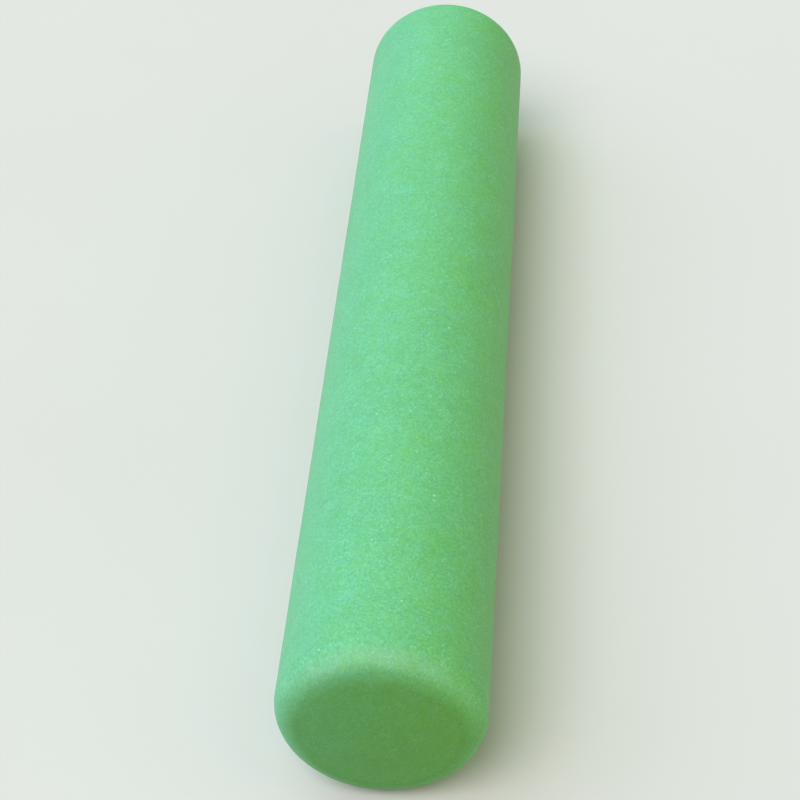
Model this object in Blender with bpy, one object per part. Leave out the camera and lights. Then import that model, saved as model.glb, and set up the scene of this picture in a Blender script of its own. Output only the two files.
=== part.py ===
"""Foam roller: a closed-cell foam log with a denser skin on its side and on both ends.

Units are metres and +Z is up. The roller lies on its side along X, and the origin is on the
surface that it lies on, under its middle.
"""

import math

import bpy

# Driving dimensions: a 36 inch by 6 inch roller.
LENGTH = 0.9144
DIAMETER = 0.1524
RIM_ROUNDING = 0.020
SKIN_THICKNESS = 0.002
# Space between pieces that touch, so that their solids stay apart.
FIT_GAP = 0.0003

# How finely the round shapes are divided.
SIDE_FACETS = 72
RIM_FACETS = 6
SHARP_EDGE_ANGLE = math.radians(40)

RADIUS = DIAMETER / 2
HALF_LENGTH = LENGTH / 2
CORE_INSET = SKIN_THICKNESS + FIT_GAP
# The lowest facet is flat on the surface, so the axis is that facet's distance above it.
AXIS_HEIGHT = RADIUS * math.cos(math.pi / SIDE_FACETS)

SKIN_GREEN = (0.19, 0.58, 0.27, 1.0)
END_GREEN = (0.17, 0.50, 0.22, 1.0)
CORE_GREEN = (0.24, 0.62, 0.32, 1.0)


def clear_scene():
    """Remove every object, so that the roller is all there is."""
    for obj in list(bpy.data.objects):
        bpy.data.objects.remove(obj, do_unlink=True)


def foam_material(name, colour, roughness):
    """A matte, non-metallic foam in one colour."""
    material = bpy.data.materials.new(name)
    material.use_nodes = True
    shader = material.node_tree.nodes["Principled BSDF"]
    shader.inputs["Base Color"].default_value = colour
    shader.inputs["Roughness"].default_value = roughness
    shader.inputs["Metallic"].default_value = 0.0
    return material


def rim_arc(inset):
    """The +X rim's quarter arc, from the end face out to the side, as (distance along the axis,
    radius) points. An inset moves the whole arc that far into the foam."""
    arc_radius = RIM_ROUNDING - inset
    points = []
    for step in range(RIM_FACETS + 1):
        angle = math.pi / 2 * step / RIM_FACETS
        along = HALF_LENGTH - RIM_ROUNDING + arc_radius * math.cos(angle)
        radius = RADIUS - RIM_ROUNDING + arc_radius * math.sin(angle)
        points.append((along, radius))
    return points


def mirrored(points):
    """The same outline at the -X end, in the order that carries the outline on."""
    return [(-along, radius) for along, radius in reversed(points)]


def turned(name, outline, closed, material):
    """A solid of revolution about the roller's axis, from (distance along the axis, radius) points.

    The outline's outer side runs from +X to -X. An open outline starts and ends on the axis, and a
    closed one makes a tube."""
    ring_starts = []
    vertices = []
    for along, radius in outline:
        ring_starts.append(len(vertices))
        if radius == 0.0:
            vertices.append((along, 0.0, AXIS_HEIGHT))
            continue
        for facet in range(SIDE_FACETS):
            angle = 2 * math.pi * (facet + 0.5) / SIDE_FACETS
            vertices.append((along, radius * math.sin(angle), AXIS_HEIGHT - radius * math.cos(angle)))

    def corner(ring, facet):
        on_axis = outline[ring][1] == 0.0
        return ring_starts[ring] if on_axis else ring_starts[ring] + facet % SIDE_FACETS

    faces = []
    rings = len(outline)
    for ring in range(rings if closed else rings - 1):
        following = (ring + 1) % rings
        for facet in range(SIDE_FACETS):
            corners = [
                corner(ring, facet),
                corner(following, facet),
                corner(following, facet + 1),
                corner(ring, facet + 1),
            ]
            faces.append(list(dict.fromkeys(corners)))

    mesh = bpy.data.meshes.new(name)
    mesh.from_pydata(vertices, [], faces)
    mesh.shade_smooth()
    mesh.set_sharp_from_angle(angle=SHARP_EDGE_ANGLE)
    mesh.materials.append(material)
    obj = bpy.data.objects.new(name, mesh)
    bpy.context.scene.collection.objects.link(obj)
    return obj


def make_core(material):
    """The closed-cell log inside the skin."""
    arc = rim_arc(CORE_INSET)
    face = arc[0][0]
    outline = [(face, 0.0)] + arc + mirrored(arc) + [(-face, 0.0)]
    return turned("foam_core", outline, False, material)


def make_side_skin(material):
    """The skin round the side: a tube whose ends roll over both rims and stop at the end faces."""
    outside = rim_arc(0.0)
    inside = rim_arc(SKIN_THICKNESS)
    outline = outside + mirrored(outside) + list(reversed(mirrored(inside))) + list(reversed(inside))
    return turned("side_skin", outline, True, material)


def make_end_skin(name, side, material):
    """The flat disc of skin on one end face, inside the rolled rim. Side is +1 or -1 along X."""
    radius = RADIUS - RIM_ROUNDING - FIT_GAP
    faces = (side * HALF_LENGTH, side * (HALF_LENGTH - SKIN_THICKNESS))
    outline = [(max(faces), 0.0), (max(faces), radius), (min(faces), radius), (min(faces), 0.0)]
    return turned(name, outline, False, material)


def build():
    clear_scene()
    make_core(foam_material("core_foam", CORE_GREEN, 0.9))
    make_side_skin(foam_material("skin_foam", SKIN_GREEN, 0.55))
    end_foam = foam_material("end_foam", END_GREEN, 0.65)
    make_end_skin("near_end_skin", -1, end_foam)
    make_end_skin("far_end_skin", +1, end_foam)


build()
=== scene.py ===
"""Looks of the foam roller: a skin with cells and small dents, sealed ends, a cellular core, a pale
floor and soft light."""

import math

import bpy
import numpy as np
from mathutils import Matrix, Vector, noise


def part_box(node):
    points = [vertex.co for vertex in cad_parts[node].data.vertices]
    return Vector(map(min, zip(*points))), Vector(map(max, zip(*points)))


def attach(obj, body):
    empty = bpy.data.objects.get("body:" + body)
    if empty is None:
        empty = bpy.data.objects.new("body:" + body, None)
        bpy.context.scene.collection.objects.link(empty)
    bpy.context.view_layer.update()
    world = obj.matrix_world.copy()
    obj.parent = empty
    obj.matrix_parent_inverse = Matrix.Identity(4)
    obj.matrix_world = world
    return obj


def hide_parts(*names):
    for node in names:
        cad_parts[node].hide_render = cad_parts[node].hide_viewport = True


# Mesh density. One division round the side is about 1.6 mm of surface.
SIDE_DIVISIONS = 300
SIDE_RING_SPACING = 0.0038
RIM_DIVISIONS = 14
INNER_RING_SPACING = 0.03
INNER_RIM_DIVISIONS = 4
END_RINGS = 90
CORE_DIVISIONS = 120
CORE_RING_SPACING = 0.012
SHARP_ANGLE = math.radians(40)

# Shapes, in metres.
SKIN_THICKNESS = 0.002
# How far an end skin runs under the rolled rim, and how far it lies below it there.
END_LAP = 0.0006
END_TUCK = 0.00004
# Each end is a shallow dome that carries the rim's curve on to the middle of the face. The rim
# starts a little inside the CAD's end plane, so that the middle of the dome stands little proud.
CROWN_ANGLE = math.radians(6.0)
RIM_RECESS = 0.0018

# Relief of the skin, in metres: long waves from the mould, smaller swells and a fine orange peel.
WAVE_HEIGHT, WAVE_LENGTH = 0.00035, 0.11
SWELL_HEIGHT, SWELL_LENGTH = 0.00014, 0.028
PEEL_HEIGHT, PEEL_LENGTH = 0.00004, 0.007
# The relief fades to nothing over this part of the rim's rounding, so that the two skins meet evenly.
RELIEF_FADE = 0.5
# The ends have a little less relief, which fades in over this part of their radius.
END_RELIEF = 0.8
END_RELIEF_FADE = 0.25
# How far out along X each end takes its noise from, so that the two ends differ.
END_NOISE_SHIFT = 5.0
# Soft round dents in the side, each worked out as far as DENT_REACH of its radii along X.
DENT_COUNT = 90
DENT_RADII = (0.003, 0.011)
DENT_DEPTHS = (0.0001, 0.00045)
DENT_REACH = 2.5
# Half the depth of the cut cells on the hidden core, and their size.
CUT_DEPTH, CUT_LENGTH = 0.00025, 0.004
# Each noise starts in its own place, so that no two share their bumps.
WAVE_START, SWELL_START, PEEL_START, CUT_START = 3.1, 11.7, 23.9, 41.0
RANDOM_SEED = 7


def lerp(low, high, amount):
    return low + (high - low) * amount


# ---------------------------------------------------------------- shapes


def rim_arc(size, inset, divisions):
    """The +X rim's arc from the domed end face out to the side, as (along, radius) points."""
    reach = size["rounding"] - inset
    points = []
    for step in range(divisions + 1):
        angle = lerp(CROWN_ANGLE, math.pi / 2, step / divisions)
        along = size["half_length"] - RIM_RECESS - size["rounding"] + reach * math.cos(angle)
        points.append((along, size["radius"] - size["rounding"] + reach * math.sin(angle)))
    return points


def straight_run(start, end, radius, spacing):
    """Points between two places along the axis, without the two ends."""
    count = max(2, round(abs(end - start) / spacing))
    return [(lerp(start, end, step / count), radius) for step in range(1, count)]


def mirrored(points):
    return [(-along, radius) for along, radius in reversed(points)]


def side_outline(size, inset, rim_divisions, spacing):
    """One side of the skin from the +X end face, along the side, to the -X end face."""
    arc = rim_arc(size, inset, rim_divisions)
    run = straight_run(arc[-1][0], -arc[-1][0], arc[-1][1], spacing)
    return arc + run + mirrored(arc)


def turned_mesh(name, outline, divisions, axis_height, closed):
    """A mesh turned about the roller's axis. An open outline starts and ends on the axis."""
    angles = 2 * math.pi * (np.arange(divisions) + 0.5) / divisions
    vertices, starts = [], []
    for along, radius in outline:
        starts.append(len(vertices))
        if radius == 0.0:
            vertices.append((along, 0.0, axis_height))
            continue
        ring_y = radius * np.sin(angles)
        ring_z = axis_height - radius * np.cos(angles)
        vertices.extend(zip([along] * divisions, ring_y, ring_z))

    def corner(ring, division):
        return starts[ring] + (0 if outline[ring][1] == 0.0 else division % divisions)

    faces = []
    rings = len(outline)
    for ring in range(rings if closed else rings - 1):
        following = (ring + 1) % rings
        for division in range(divisions):
            corners = (
                corner(ring, division),
                corner(following, division),
                corner(following, division + 1),
                corner(ring, division + 1),
            )
            faces.append(tuple(dict.fromkeys(corners)))
    mesh = bpy.data.meshes.new(name)
    mesh.from_pydata(vertices, [], faces)
    mesh.validate()
    return mesh


def vertex_places(mesh):
    places = np.empty(len(mesh.vertices) * 3, np.float32)
    mesh.vertices.foreach_get("co", places)
    return places.reshape(-1, 3).astype(float)


def vertex_normals(mesh):
    normals = np.empty(len(mesh.vertices) * 3, np.float32)
    mesh.vertices.foreach_get("normal", normals)
    return normals.reshape(-1, 3).astype(float)


def set_places(mesh, places):
    mesh.vertices.foreach_set("co", places.astype(np.float32).ravel())
    mesh.update()


def soft_noise(places, wave_length, start):
    """Smooth noise from about -1 to 1, with the given distance between its bumps."""
    shift = Vector((start, -start, start * 0.5))
    return np.array([noise.noise(Vector(place) / wave_length + shift) for place in places])


def skin_relief(places, amount=1.0):
    """How far the skin stands proud of the true round shape at each place."""
    relief = WAVE_HEIGHT * soft_noise(places, WAVE_LENGTH, WAVE_START)
    relief += SWELL_HEIGHT * soft_noise(places, SWELL_LENGTH, SWELL_START)
    relief += PEEL_HEIGHT * soft_noise(places, PEEL_LENGTH, PEEL_START)
    return relief * amount


def press_dents(places, centres, radii, depths):
    """The depth of soft round dents at each place."""
    depth = np.zeros(len(places))
    for centre, radius, deepest in zip(centres, radii, depths):
        near = np.abs(places[:, 0] - centre[0]) < DENT_REACH * radius
        distance = np.linalg.norm(places[near] - centre, axis=1) / radius
        depth[near] += deepest * np.exp(-distance * distance)
    return depth


def finished_piece(mesh, material):
    """An object of the mesh, shaded smooth, in the scene."""
    mesh.shade_smooth()
    mesh.set_sharp_from_angle(angle=SHARP_ANGLE)
    mesh.materials.append(material)
    obj = bpy.data.objects.new(mesh.name, mesh)
    bpy.context.scene.collection.objects.link(obj)
    return obj


def on_side(size, along, angle):
    """Places on the side of the roller. Angle 0 is the top and it grows towards -Y."""
    radius, height = size["radius"], size["axis_height"]
    return np.stack([along, -radius * np.sin(angle), height + radius * np.cos(angle)], axis=1)


def side_dents(size, places):
    """The depth at each place of dents that are scattered over the side."""
    random = np.random.default_rng(RANDOM_SEED)
    along = random.uniform(-size["half_length"], size["half_length"], DENT_COUNT)
    angle = random.uniform(0, 2 * math.pi, DENT_COUNT)
    radii = random.uniform(*DENT_RADII, DENT_COUNT)
    depths = random.uniform(*DENT_DEPTHS, DENT_COUNT)
    return press_dents(places, on_side(size, along, angle), radii, depths)


def make_side_skin(size, material):
    """The skin round the side, rolled over both rims, with its relief and dents."""
    outside = side_outline(size, 0.0, RIM_DIVISIONS, SIDE_RING_SPACING)
    inside = side_outline(size, SKIN_THICKNESS, INNER_RIM_DIVISIONS, INNER_RING_SPACING)
    outline = outside + list(reversed(inside))
    mesh = turned_mesh("side_skin_foam", outline, SIDE_DIVISIONS, size["axis_height"], True)
    places, normals = vertex_places(mesh), vertex_normals(mesh)
    outer = slice(0, len(outside) * SIDE_DIVISIONS)

    move = skin_relief(places[outer]) - side_dents(size, places[outer])
    from_end = size["half_length"] - np.abs(places[outer][:, 0])
    move *= np.clip(from_end / (RELIEF_FADE * size["rounding"]), 0.0, 1.0)
    places[outer] += normals[outer] * move[:, None]
    # Where the roller lies on the floor the skin is flat.
    places[:, 2] = np.maximum(places[:, 2], 0.0)
    set_places(mesh, places)
    return finished_piece(mesh, material)


def dome_outline(size):
    """The outline of the +X end skin: a shallow dome that runs on under the rolled rim, its edge and
    its flat back."""
    rim_along, rim_radius = rim_arc(size, 0.0, 1)[0]
    edge = rim_radius + END_LAP
    dome_radius = rim_radius / math.sin(CROWN_ANGLE)
    middle = rim_along - dome_radius * math.cos(CROWN_ANGLE)
    front = []
    for ring in range(END_RINGS + 1):
        radius = edge * ring / END_RINGS
        front.append((middle + math.sqrt(dome_radius**2 - radius**2) - END_TUCK, radius))
    back = rim_along - SKIN_THICKNESS
    return front + [(back, edge), (back, 0.0)]


def make_end_skin(name, side, size, material):
    """A heat-sealed end with a soft ripple. side is +1 or -1 along X."""
    outline = dome_outline(size)
    back, edge = outline[-2]
    mesh = turned_mesh(name, outline, SIDE_DIVISIONS, size["axis_height"], False)
    places = vertex_places(mesh)
    radial = np.hypot(places[:, 1], places[:, 2] - size["axis_height"]) / edge
    inward = np.clip((1.0 - radial) / END_RELIEF_FADE, 0.0, 1.0)
    inward = inward * inward * (3 - 2 * inward)
    on_front = places[:, 0] > back + SKIN_THICKNESS / 2
    ripple = skin_relief(places + np.array((side * END_NOISE_SHIFT, 0.0, 0.0)), END_RELIEF) * inward
    places[on_front, 0] += ripple[on_front]
    if side < 0:
        places[:, 0] *= -1.0
    set_places(mesh, places)
    if side < 0:
        mesh.flip_normals()
    return finished_piece(mesh, material)


def make_core(size, material):
    """The closed-cell log inside the skins."""
    inset = size["core_inset"]
    outline = side_outline(size, inset, INNER_RIM_DIVISIONS, CORE_RING_SPACING)
    face = outline[0][0]
    outline = [(face, 0.0)] + outline + [(-face, 0.0)]
    mesh = turned_mesh("foam_core_cells", outline, CORE_DIVISIONS, size["axis_height"], False)
    places, normals = vertex_places(mesh), vertex_normals(mesh)
    cut = -CUT_DEPTH * (1.0 + soft_noise(places, CUT_LENGTH, CUT_START))
    set_places(mesh, places + normals * cut[:, None])
    return finished_piece(mesh, material)


# ---------------------------------------------------------------- materials


# Sizes of the foam's patterns, in metres.
HUE_CLOUD_SIZE = 0.11
PATCH_SIZE = 0.017
TONE_CLOUD_SIZE, TONE_PATCH_SIZE = 0.07, 0.013
SPARK_CLUSTER_SIZE = 0.055
# Sizes of the finer patterns, in cells of the look.
SMALL_DOT, MOTTLE, GRAIN, FLECK = 0.52, 0.8, 0.9, 2.6
# The span of the patch noise over which an effect goes from its weakest to its strongest.
PATCH_SPAN = (0.35, 0.65)
NOISE_ROUGHNESS = 0.55

# In cells: the widest coarse and small dots, and how wide a dot's soft edge is.
COARSE_DOT_RADIUS, SMALL_DOT_RADIUS, DOT_EDGE = 0.62, 0.70, 0.16
# The share of the cells that hold no dot, and how strong the small dots are beside the coarse ones.
EMPTY_CELLS = 0.25
SMALL_DOT_STRENGTH = 0.6
# In spark cells: the smallest and largest spark, and how wide a spark's soft edge is.
SPARK_RADII = (0.10, 0.22)
SPARK_EDGE = 0.09
# The span of the cluster noise over which sparks appear, and the step in a cell's chance that
# brings its own spark in.
SPARK_CLUSTER_SPAN = (0.50, 0.58)
SPARK_STEP = 0.01
# How strong the dots and the painted highlight on the upper rim still are where the patch noise is low.
WEAKEST_DOTS, WEAKEST_PAINTED_HIGHLIGHT = 0.35, 0.5
# How far the roughness strays from cell to cell and from patch to patch, and how much a spark takes
# off it.
CELL_ROUGHNESS, PATCH_ROUGHNESS, SPARK_GLOSS = 0.14, 0.20, 0.28
# How high the dots and the grain stand, in cell heights.
DOT_HEIGHT, GRAIN_HEIGHT = 0.8, 0.8

# Where the end's look starts and where it is complete, measured as over_rim does, how far that
# wanders, and how much further in it starts at the very top. That shift paints light on the upper rim,
# which keeps the side's paler colour further round; its size is a guess.
FACE_LOOK_START, FACE_LOOK_FULL = -0.012, 0.017
FACE_LOOK_WANDER, WANDER_SIZE = 0.012, 0.03
PAINTED_TOP_LIGHT_SHIFT = 0.021
# The painted highlight on the upper rim comes in over the first stretch and goes out over the second,
# measured likewise.
PAINTED_HIGHLIGHT_IN = (-0.012, 0.002)
PAINTED_HIGHLIGHT_OUT = (0.005, 0.018)


class Nodes:
    """Short calls for building one material's node tree."""

    def __init__(self, name):
        self.material = bpy.data.materials.new(name)
        self.material.use_nodes = True
        self.tree = self.material.node_tree
        self.tree.nodes.clear()

    def add(self, kind, inputs=None, **settings):
        node = self.tree.nodes.new(kind)
        for key, value in settings.items():
            setattr(node, key, value)
        for key, value in (inputs or {}).items():
            self.put(node.inputs[key], value)
        return node

    def put(self, socket, value):
        if isinstance(value, bpy.types.NodeSocket):
            self.tree.links.new(value, socket)
        else:
            socket.default_value = value

    def finish(self, inputs):
        """The shader itself, and the output that it goes to."""
        shader = self.add("ShaderNodeBsdfPrincipled", inputs)
        self.add("ShaderNodeOutputMaterial", {"Surface": shader.outputs["BSDF"]})

    def math(self, operation, first, second):
        node = self.add("ShaderNodeMath", {0: first, 1: second}, operation=operation)
        return node.outputs[0]

    def swing(self, value, amount):
        """A value from 0 to 1 as a swing about zero, this wide in all."""
        return self.math("MULTIPLY", self.math("SUBTRACT", value, 0.5), amount)

    def total(self, *values):
        result = values[0]
        for value in values[1:]:
            result = self.math("ADD", result, value)
        return result

    def product(self, *values):
        result = values[0]
        for value in values[1:]:
            result = self.math("MULTIPLY", result, value)
        return result

    def mix(self, amount, first, second, blend_type="MIX"):
        node = self.add("ShaderNodeMix", data_type="RGBA", blend_type=blend_type)
        self.put(node.inputs["Factor"], amount)
        self.put(node.inputs["A"], first)
        self.put(node.inputs["B"], second)
        return node.outputs["Result"]

    def map_range(self, value, low, high, to_low=0.0, to_high=1.0):
        inputs = {"Value": value, "From Min": low, "From Max": high, "To Min": to_low, "To Max": to_high}
        return self.add("ShaderNodeMapRange", inputs, clamp=True).outputs["Result"]

    def noise(self, coordinates, size, detail=2.0):
        inputs = {"Vector": coordinates, "Scale": 1.0 / size, "Detail": detail, "Roughness": NOISE_ROUGHNESS}
        return self.add("ShaderNodeTexNoise", inputs).outputs["Fac"]

    def cells(self, coordinates, size):
        """Foam cells: the distance from the nearest cell's middle, in cells, and two random values
        for that cell."""
        inputs = {"Vector": coordinates, "Scale": 1.0 / size, "Randomness": 1.0}
        node = self.add("ShaderNodeTexVoronoi", inputs, feature="F1")
        chance = self.add("ShaderNodeSeparateColor", {"Color": node.outputs["Color"]})
        return node.outputs["Distance"], chance.outputs["Red"], chance.outputs["Green"]

    def dots(self, coordinates, size, widest):
        """Soft round dots, one in a cell, from nothing up to the widest radius, in cells."""
        distance, chance, _ = self.cells(coordinates, size)
        radius = self.map_range(chance, EMPTY_CELLS, 1.0, 0.0, widest)
        return self.map_range(self.math("SUBTRACT", radius, distance), 0.0, DOT_EDGE)

    def along(self, coordinates, axis):
        """The place along one axis, which is X, Y or Z."""
        return self.add("ShaderNodeSeparateXYZ", {"Vector": coordinates}).outputs[axis]

    def over_rim(self, coordinates, size):
        """How far a place on the skin is over the rim, in metres: below zero on the side, zero half
        way round the rim, and more and more towards the middle of the end face."""
        apart = self.add("ShaderNodeSeparateXYZ", {"Vector": coordinates})
        out = self.math("ABSOLUTE", apart.outputs["X"], 0.0)
        above_axis = self.math("SUBTRACT", apart.outputs["Z"], size["axis_height"])
        across = self.add("ShaderNodeCombineXYZ", {"Y": apart.outputs["Y"], "Z": above_axis})
        from_axis = self.add("ShaderNodeVectorMath", {0: across.outputs[0]}, operation="LENGTH")
        past_end = self.math("SUBTRACT", out, size["half_length"] - RIM_RECESS)
        inside_side = self.math("SUBTRACT", size["radius"], from_axis.outputs["Value"])
        return self.math("ADD", past_end, inside_side)


def shared_pattern(nodes, look):
    """The place on the foam, and the cells and noises that several effects share."""
    place = nodes.add("ShaderNodeTexCoord").outputs["Object"]
    distance, chance, _ = nodes.cells(place, look["cell"] * MOTTLE)
    return {
        "place": place,
        "distance": distance,
        "chance": chance,
        "patch": nodes.noise(place, PATCH_SIZE, 3.0),
        "grain": nodes.noise(place, look["cell"] * GRAIN),
    }


def face_and_painted_highlight(nodes, pattern, size):
    """How much of the end's look, with its painted shade, shows, and how strong the painted highlight on the
    upper rim is, from 0 to 1.
    """
    place = pattern["place"]
    over_rim = nodes.over_rim(place, size)
    top = size["axis_height"] + size["radius"]
    upper = nodes.map_range(nodes.along(place, "Z"), size["axis_height"], top)

    wander = nodes.swing(nodes.noise(place, WANDER_SIZE, 3.0), FACE_LOOK_WANDER)
    # Painted light on the upper rim: the side's paler colour reaches further towards the end face at the
    # top.
    painted_top_light = nodes.product(upper, -PAINTED_TOP_LIGHT_SHIFT)
    face = nodes.map_range(nodes.total(over_rim, wander, painted_top_light), FACE_LOOK_START, FACE_LOOK_FULL)

    # A painted highlight: a paler, greyer band over the upper half of the rim.
    highlight_in = nodes.map_range(over_rim, *PAINTED_HIGHLIGHT_IN)
    highlight_out = nodes.map_range(over_rim, *PAINTED_HIGHLIGHT_OUT, 1.0, 0.0)
    uneven = nodes.map_range(pattern["patch"], *PATCH_SPAN, WEAKEST_PAINTED_HIGHLIGHT, 1.0)
    return face, nodes.product(highlight_in, highlight_out, uneven, upper)


def body_colour(nodes, pattern, look, texture):
    """Green that wanders between a cooler and a warmer hue, and is darker where it is denser."""
    place = pattern["place"]
    hue = nodes.total(
        # painted_light_hue_drift paints cool light on the +Y side and warm light on the -Y side into the
        # colour.
        nodes.product(nodes.along(place, "Y"), look["painted_light_hue_drift"]),
        nodes.swing(nodes.noise(place, HUE_CLOUD_SIZE, 3.0), look["hue_cloud"]),
        nodes.swing(pattern["patch"], look["hue_patch"]),
        nodes.swing(nodes.noise(place, look["cell"] * FLECK), look["hue_fleck"]),
        look["hue_middle"],
    )
    body = nodes.mix(nodes.map_range(hue, 0.0, 1.0), look["warm"], look["cool"])
    tone = nodes.total(
        nodes.swing(nodes.noise(place, TONE_CLOUD_SIZE), look["cloud"]),
        nodes.swing(nodes.noise(place, TONE_PATCH_SIZE, 3.0), look["patch"]),
        nodes.product(nodes.swing(pattern["chance"], look["mottle"]), texture),
        nodes.product(nodes.swing(pattern["grain"], look["mottle"]), texture),
        0.5,
    )
    dense = nodes.mix(1.0, body, look["dense"], blend_type="MULTIPLY")
    return nodes.mix(nodes.map_range(tone, 0.0, 1.0), dense, body)


def pale_dots(nodes, pattern, look, texture):
    """Dots where thin cell walls scatter the light, from 0 to 1."""
    coarse = nodes.dots(pattern["place"], look["cell"], COARSE_DOT_RADIUS)
    small = nodes.dots(pattern["place"], look["cell"] * SMALL_DOT, SMALL_DOT_RADIUS)
    dots = nodes.math("MAXIMUM", nodes.product(small, SMALL_DOT_STRENGTH), coarse)
    uneven = nodes.map_range(pattern["patch"], *PATCH_SPAN, WEAKEST_DOTS, 1.0)
    return nodes.product(dots, uneven, texture)


def bright_sparks(nodes, pattern, look, face):
    """A few burst or thin-walled cells that shine, in clusters on the side, from 0 to 1. They are glossier
    and raised, and their colour is lightened with a painted glint.
    """
    distance, chance, second = nodes.cells(pattern["place"], look["spark_spacing"])
    here = nodes.map_range(chance, look["spark_chance"], look["spark_chance"] + SPARK_STEP)
    radius = nodes.map_range(second, 0.0, 1.0, *SPARK_RADII)
    shape = nodes.map_range(nodes.math("SUBTRACT", radius, distance), 0.0, SPARK_EDGE)
    cluster = nodes.map_range(nodes.noise(pattern["place"], SPARK_CLUSTER_SIZE), *SPARK_CLUSTER_SPAN)
    return nodes.product(here, shape, cluster, nodes.math("SUBTRACT", 1.0, face))


def foam_bump(nodes, pattern, look, dots, spark):
    """The small relief of the cells, as a shading normal."""
    height = nodes.total(
        nodes.product(pattern["distance"], -look["cell_height"]),
        nodes.product(dots, look["cell_height"] * DOT_HEIGHT),
        nodes.product(pattern["grain"], look["cell_height"] * GRAIN_HEIGHT),
        nodes.product(spark, look["cell_height"]),
    )
    bump = nodes.add("ShaderNodeBump", {"Height": height, "Distance": 1.0, "Strength": look["bump"]})
    return bump.outputs["Normal"]


def foam_material(name, look, size):
    """Closed-cell foam. look holds the colours, the cell size and how strongly each effect shows.
    Over the rim the skin turns from the side's paler, speckled look to the end's finer one, whose colour is
    darkened and warmed with painted shade and warm light, and the rim's upper half carries a painted
    highlight."""
    nodes = Nodes(name)
    pattern = shared_pattern(nodes, look)
    face, painted_rim_highlight = face_and_painted_highlight(nodes, pattern, size)
    texture = nodes.math("SUBTRACT", 1.0, nodes.product(face, look["face_calm"]))
    dots = pale_dots(nodes, pattern, look, texture)
    spark = bright_sparks(nodes, pattern, look, face)

    colour = body_colour(nodes, pattern, look, texture)
    colour = nodes.mix(nodes.product(dots, look["dot_strength"]), colour, look["pale"])
    # The painted highlight on the upper rim.
    colour = nodes.mix(nodes.product(painted_rim_highlight, look["painted_rim_highlight_strength"]), colour, look["painted_rim_highlight"])
    # On the end faces end_painted_shade_tint darkens and warms the colour: painted shade and warm light.
    colour = nodes.mix(face, colour, nodes.mix(1.0, colour, look["end_painted_shade_tint"], blend_type="MULTIPLY"))
    # Sparks: their colour is lightened with a painted glint.
    colour = nodes.mix(nodes.product(spark, look["painted_glint_strength"]), colour, look["painted_glint_colour"])
    roughness = nodes.total(
        look["roughness"],
        nodes.swing(pattern["chance"], CELL_ROUGHNESS),
        nodes.swing(pattern["patch"], PATCH_ROUGHNESS),
        nodes.product(spark, -SPARK_GLOSS),
    )
    nodes.finish(
        {
            "Base Color": colour,
            "Roughness": roughness,
            "Normal": foam_bump(nodes, pattern, look, dots, spark),
            "IOR": 1.45,
            "Specular IOR Level": look["specular"],
            "Subsurface Weight": look["subsurface"],
            "Subsurface Radius": (1.0, 1.6, 0.9),
            "Subsurface Scale": 0.0025,
        }
    )
    return nodes.material


# painted_light_hue_drift makes +Y cooler and -Y warmer: it paints cool light on one side and warm light on
# the other.
# end_painted_shade_tint paints shade and warm light on the ends. How strong each is, is a guess: one view
# can't tell a colour from the light on it.
SKIN_LOOK = {
    "cell": 0.0021,
    "warm": (0.184, 0.560, 0.138, 1.0),
    "cool": (0.172, 0.570, 0.270, 1.0),
    "dense": (0.74, 0.80, 0.76, 1.0),
    "hue_middle": 0.58,
    # Painted light: cooler towards +Y, warmer towards -Y.
    "painted_light_hue_drift": 7.0,
    "hue_cloud": 0.6,
    "hue_patch": 0.9,
    "hue_fleck": 1.1,
    "cloud": 0.5,
    "patch": 0.7,
    "mottle": 0.8,
    "pale": (0.30, 0.72, 0.37, 1.0),
    "dot_strength": 0.46,
    "face_calm": 0.35,
    # Painted shade and warm light on the end faces.
    "end_painted_shade_tint": (0.60, 0.60, 0.34, 1.0),
    # The painted highlight's colour on the upper rim, and its strength.
    "painted_rim_highlight": (0.30, 0.58, 0.28, 1.0),
    "painted_rim_highlight_strength": 0.42,
    "spark_spacing": 0.0055,
    "spark_chance": 0.92,
    # The painted glint on the sparks: its strength and colour.
    "painted_glint_strength": 0.6,
    "painted_glint_colour": (0.60, 0.95, 0.65, 1.0),
    "roughness": 0.50,
    "cell_height": 0.00016,
    "bump": 0.5,
    "specular": 0.30,
    "subsurface": 0.15,
}
CORE_LOOK = dict(
    SKIN_LOOK,
    cell=0.0016,
    warm=(0.20, 0.62, 0.22, 1.0),
    cool=(0.18, 0.63, 0.28, 1.0),
    mottle=1.2,
    end_painted_shade_tint=(1.0, 1.0, 1.0, 1.0),
    roughness=0.7,
    cell_height=0.0005,
    bump=0.8,
)


# ---------------------------------------------------------------- stage


FLOOR_REACH = 12.0
FLOOR_COLOURS = ((0.70, 0.65, 0.54, 1.0), (0.72, 0.67, 0.56, 1.0))
FLOOR_CLOUD_SIZE = 0.6
FLOOR_CLOUD_SPAN = (0.3, 0.7)


def floor_material():
    """Pale paper with faint clouds."""
    nodes = Nodes("floor_paper")
    place = nodes.add("ShaderNodeTexCoord").outputs["Object"]
    shade = nodes.map_range(nodes.noise(place, FLOOR_CLOUD_SIZE), *FLOOR_CLOUD_SPAN)
    nodes.finish({"Base Color": nodes.mix(shade, *FLOOR_COLOURS), "Roughness": 0.85})
    return nodes.material


def make_floor():
    """A large pale floor, which isn't part of the object."""
    mesh = bpy.data.meshes.new("floor")
    signs = ((-1, -1), (1, -1), (1, 1), (-1, 1))
    corners = [(FLOOR_REACH * x, FLOOR_REACH * y, 0.0) for x, y in signs]
    mesh.from_pydata(corners, [], [(0, 1, 2, 3)])
    mesh.materials.append(floor_material())
    floor = bpy.data.objects.new("floor", mesh)
    bpy.context.scene.collection.objects.link(floor)


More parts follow.
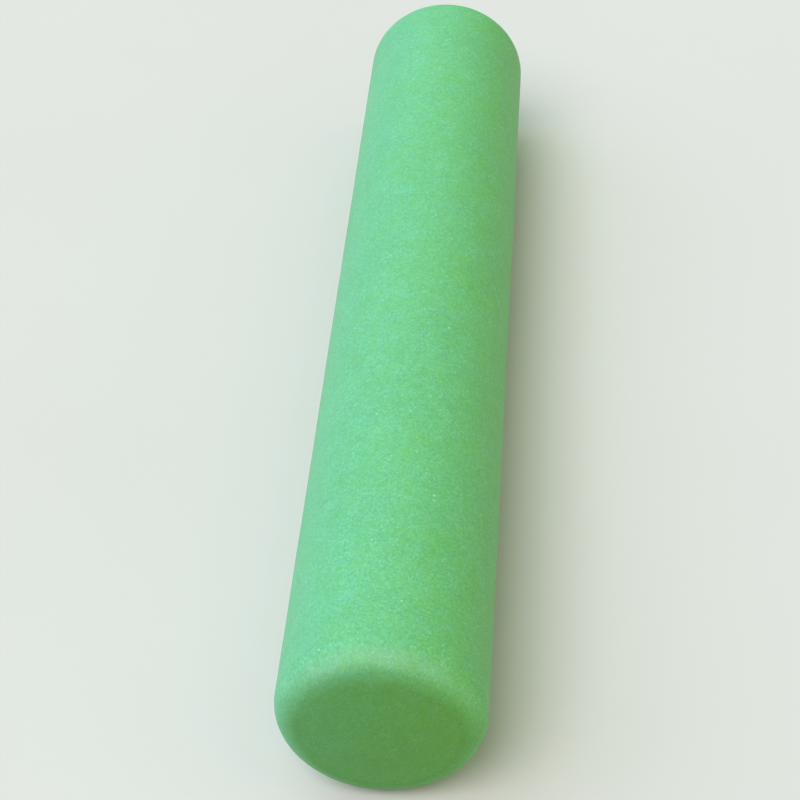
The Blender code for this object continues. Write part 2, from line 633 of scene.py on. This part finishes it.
def add_sun(name, towards, colour, strength, degrees):
    """Soft light from a part of the sky so many degrees wide. towards points from the roller to
    the light."""
    light = bpy.data.lights.new(name, "SUN")
    light.color = colour
    light.energy = strength
    light.angle = math.radians(degrees)
    obj = bpy.data.objects.new(name, light)
    obj.rotation_mode = "QUATERNION"
    obj.rotation_quaternion = Vector(towards).to_track_quat("Z", "Y")
    bpy.context.scene.collection.objects.link(obj)


def make_lights():
    """A soft key light, weaker tinted ones round it, and a pale sky."""
    add_sun("key_front", (-0.5, 0.3, 0.8), (0.80, 0.81, 1.00), strength=2.08, degrees=40)
    add_sun("key_left", (0.0, 0.75, 0.65), (0.46, 0.54, 0.95), strength=1.05, degrees=60)
    add_sun("back_high", (0.45, 0.48, 0.85), (0.56, 1.00, 0.96), strength=0.50, degrees=60)
    add_sun("back_low", (0.85, 0.1, 0.5), (0.42, 1.00, 0.80), strength=0.45, degrees=50)
    add_sun("right", (0.0, -0.7, 0.7), (0.65, 1.00, 0.20), strength=0.22, degrees=60)
    add_sun("front", (-0.9, 0.0, 0.35), (1.00, 0.50, 0.65), strength=0.35, degrees=70)
    world = bpy.data.worlds.new("studio")
    world.use_nodes = True
    background = world.node_tree.nodes["Background"]
    background.inputs["Color"].default_value = (0.93, 0.95, 1.0, 1.0)
    background.inputs["Strength"].default_value = 0.40
    bpy.context.scene.world = world


def make_camera(size):
    """Above and beyond the near end, looking down along the roller, a little from its right."""
    before_end, to_the_right, above_axis = 0.9758, 0.0835, 1.1125
    pitch, yaw = math.radians(39.62), math.radians(4.026)
    camera = bpy.data.objects.new("camera", bpy.data.cameras.new("camera"))
    camera.data.sensor_width = 36.0
    camera.data.lens = 94.30
    camera.location = (-size["half_length"] - before_end, -to_the_right, size["axis_height"] + above_axis)
    level = math.cos(pitch)
    looking = Vector((math.cos(yaw) * level, math.sin(yaw) * level, -math.sin(pitch)))
    camera.rotation_mode = "QUATERNION"
    camera.rotation_quaternion = looking.to_track_quat("-Z", "Y")
    bpy.context.scene.collection.objects.link(camera)
    bpy.context.scene.camera = camera
    bpy.context.scene.view_settings.view_transform = "Standard"
    bpy.context.scene.view_settings.look = "None"


# ---------------------------------------------------------------- the roller


def frame_sizes():
    """The sizes that every piece is worked out from, measured on the CAD nodes."""
    low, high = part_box("side_skin")
    end_low, end_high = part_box("near_end_skin")
    _, core_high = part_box("foam_core")
    radius = (high.z - low.z) / 2
    flat_radius = (end_high.z - end_low.z) / 2
    return {
        "half_length": (high.x - low.x) / 2,
        "radius": radius,
        "axis_height": (high.z + low.z) / 2,
        "rounding": radius - flat_radius,
        "core_inset": high.x - core_high.x,
    }


def place_piece(piece, node):
    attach(piece, "root")
    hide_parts(node)


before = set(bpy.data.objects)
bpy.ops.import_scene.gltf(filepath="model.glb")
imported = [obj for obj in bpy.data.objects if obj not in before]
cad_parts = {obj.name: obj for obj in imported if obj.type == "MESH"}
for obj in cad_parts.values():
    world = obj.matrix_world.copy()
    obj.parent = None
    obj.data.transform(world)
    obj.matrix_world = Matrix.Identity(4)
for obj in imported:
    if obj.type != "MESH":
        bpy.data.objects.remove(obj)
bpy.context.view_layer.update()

size = frame_sizes()
make_camera(size)
make_floor()
make_lights()

skin_foam = foam_material("skin_foam", SKIN_LOOK, size)
end_foam = foam_material("end_foam", SKIN_LOOK, size)
core_foam = foam_material("core_foam", CORE_LOOK, size)

place_piece(make_core(size, core_foam), "foam_core")
place_piece(make_side_skin(size, skin_foam), "side_skin")
place_piece(make_end_skin("near_end_foam", -1, size, end_foam), "near_end_skin")
place_piece(make_end_skin("far_end_foam", +1, size, end_foam), "far_end_skin")
